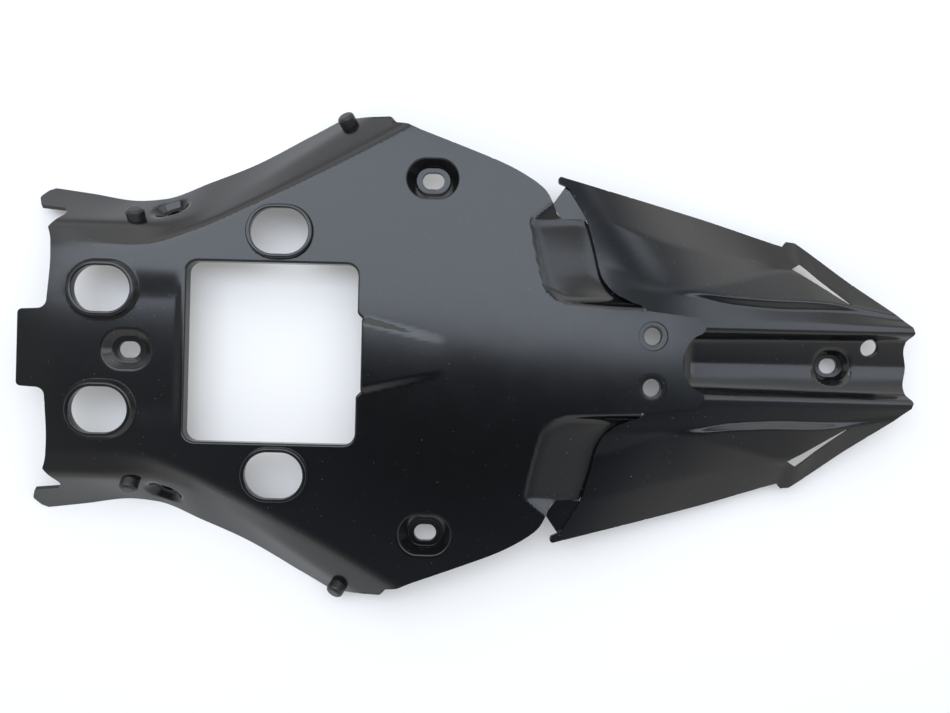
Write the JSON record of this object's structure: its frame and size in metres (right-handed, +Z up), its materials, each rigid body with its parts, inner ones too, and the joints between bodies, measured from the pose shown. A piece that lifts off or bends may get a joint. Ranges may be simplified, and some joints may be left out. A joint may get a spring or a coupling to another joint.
{
  "type": "motorcycle undertray",
  "caption": "Black moulded motorcycle undertray: a windowed front tray with sloping side skirts lapped over a winged, troughed tail tray, with rubber buffers.",
  "frame": {"origin": "middle of the length and width, on the plane that the side skirts stand on", "axes": "+X along the tray from the front edge to the tail, +Y to the left hand side, +Z up, out of the face that shows"},
  "size_m": [0.586, 0.3274, 0.0348],
  "materials": {
    "moulded_plastic": "black, satin, fine moulded grain",
    "buffer_rubber": "black, dull"
  },
  "bodies": {
    "root": {"front_tray": "moulded_plastic", "tail_tray": "moulded_plastic", "buffer_front_left": "buffer_rubber", "buffer_front_right": "buffer_rubber", "buffer_rear_left": "buffer_rubber", "buffer_rear_right": "buffer_rubber"}
  },
  "joints": []
}
